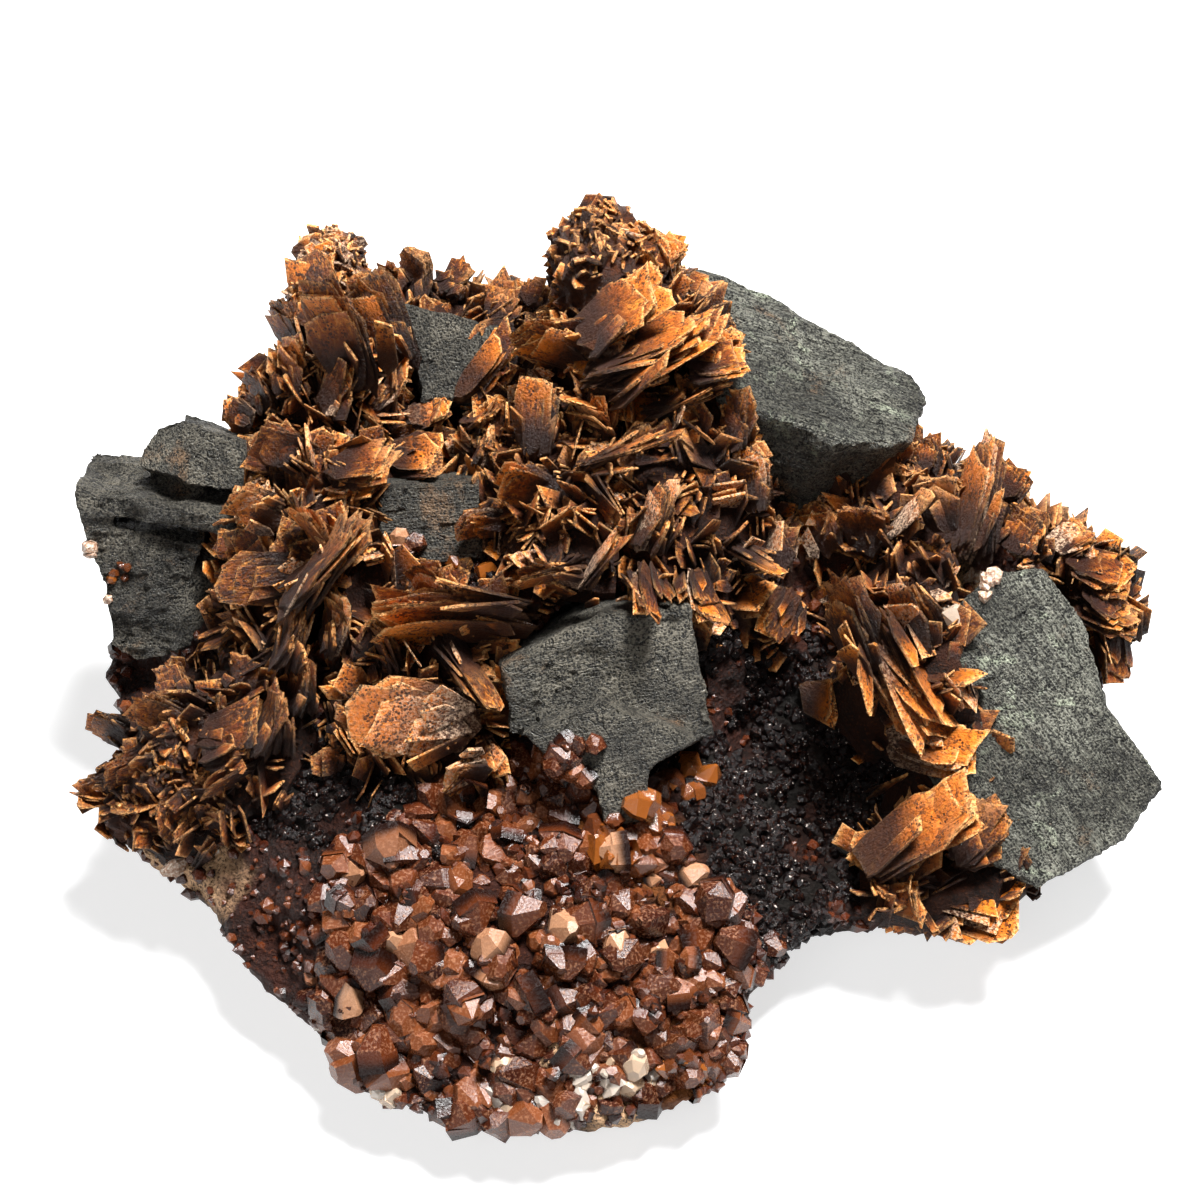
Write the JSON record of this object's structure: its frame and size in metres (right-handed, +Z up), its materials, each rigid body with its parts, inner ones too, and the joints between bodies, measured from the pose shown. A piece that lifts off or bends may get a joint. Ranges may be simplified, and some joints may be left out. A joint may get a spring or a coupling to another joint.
{
  "type": "barite on galena specimen",
  "caption": "Cabinet mineral specimen: rusty bladed barite clusters and dull grey galena crystals on a quartz matrix with a druse of iron-stained points; it rests on a flat patch underneath.",
  "frame": {"origin": "middle of the flat patch underneath that the specimen rests on", "axes": "+X to the right and +Y to the back of the specimen as it is pictured, +Z up from the patch"},
  "size_m": [0.1457, 0.1163, 0.0722],
  "materials": {
    "quartz": "glossy iron-stained quartz, reddish brown",
    "galena": "dull lead grey with a weak metallic sheen, finely pitted",
    "barite": "satin orange-brown blades with paler edges"
  },
  "bodies": {
    "root": {"quartz_matrix": "quartz", "galena_left": "galena", "galena_back_right": "galena", "galena_right": "galena", "galena_centre": "galena", "galena_middle": "galena", "galena_upper": "galena", "barite_left_crest": "barite", "barite_left_middle": "barite", "barite_saddle": "barite", "barite_crown": "barite", "barite_centre": "barite", "barite_centre_right": "barite", "barite_front_fan": "barite", "barite_lower_left": "barite", "barite_right_tips": "barite", "barite_right_stack": "barite", "barite_right_rosette": "barite", "barite_far_right": "barite"}
  },
  "joints": []
}
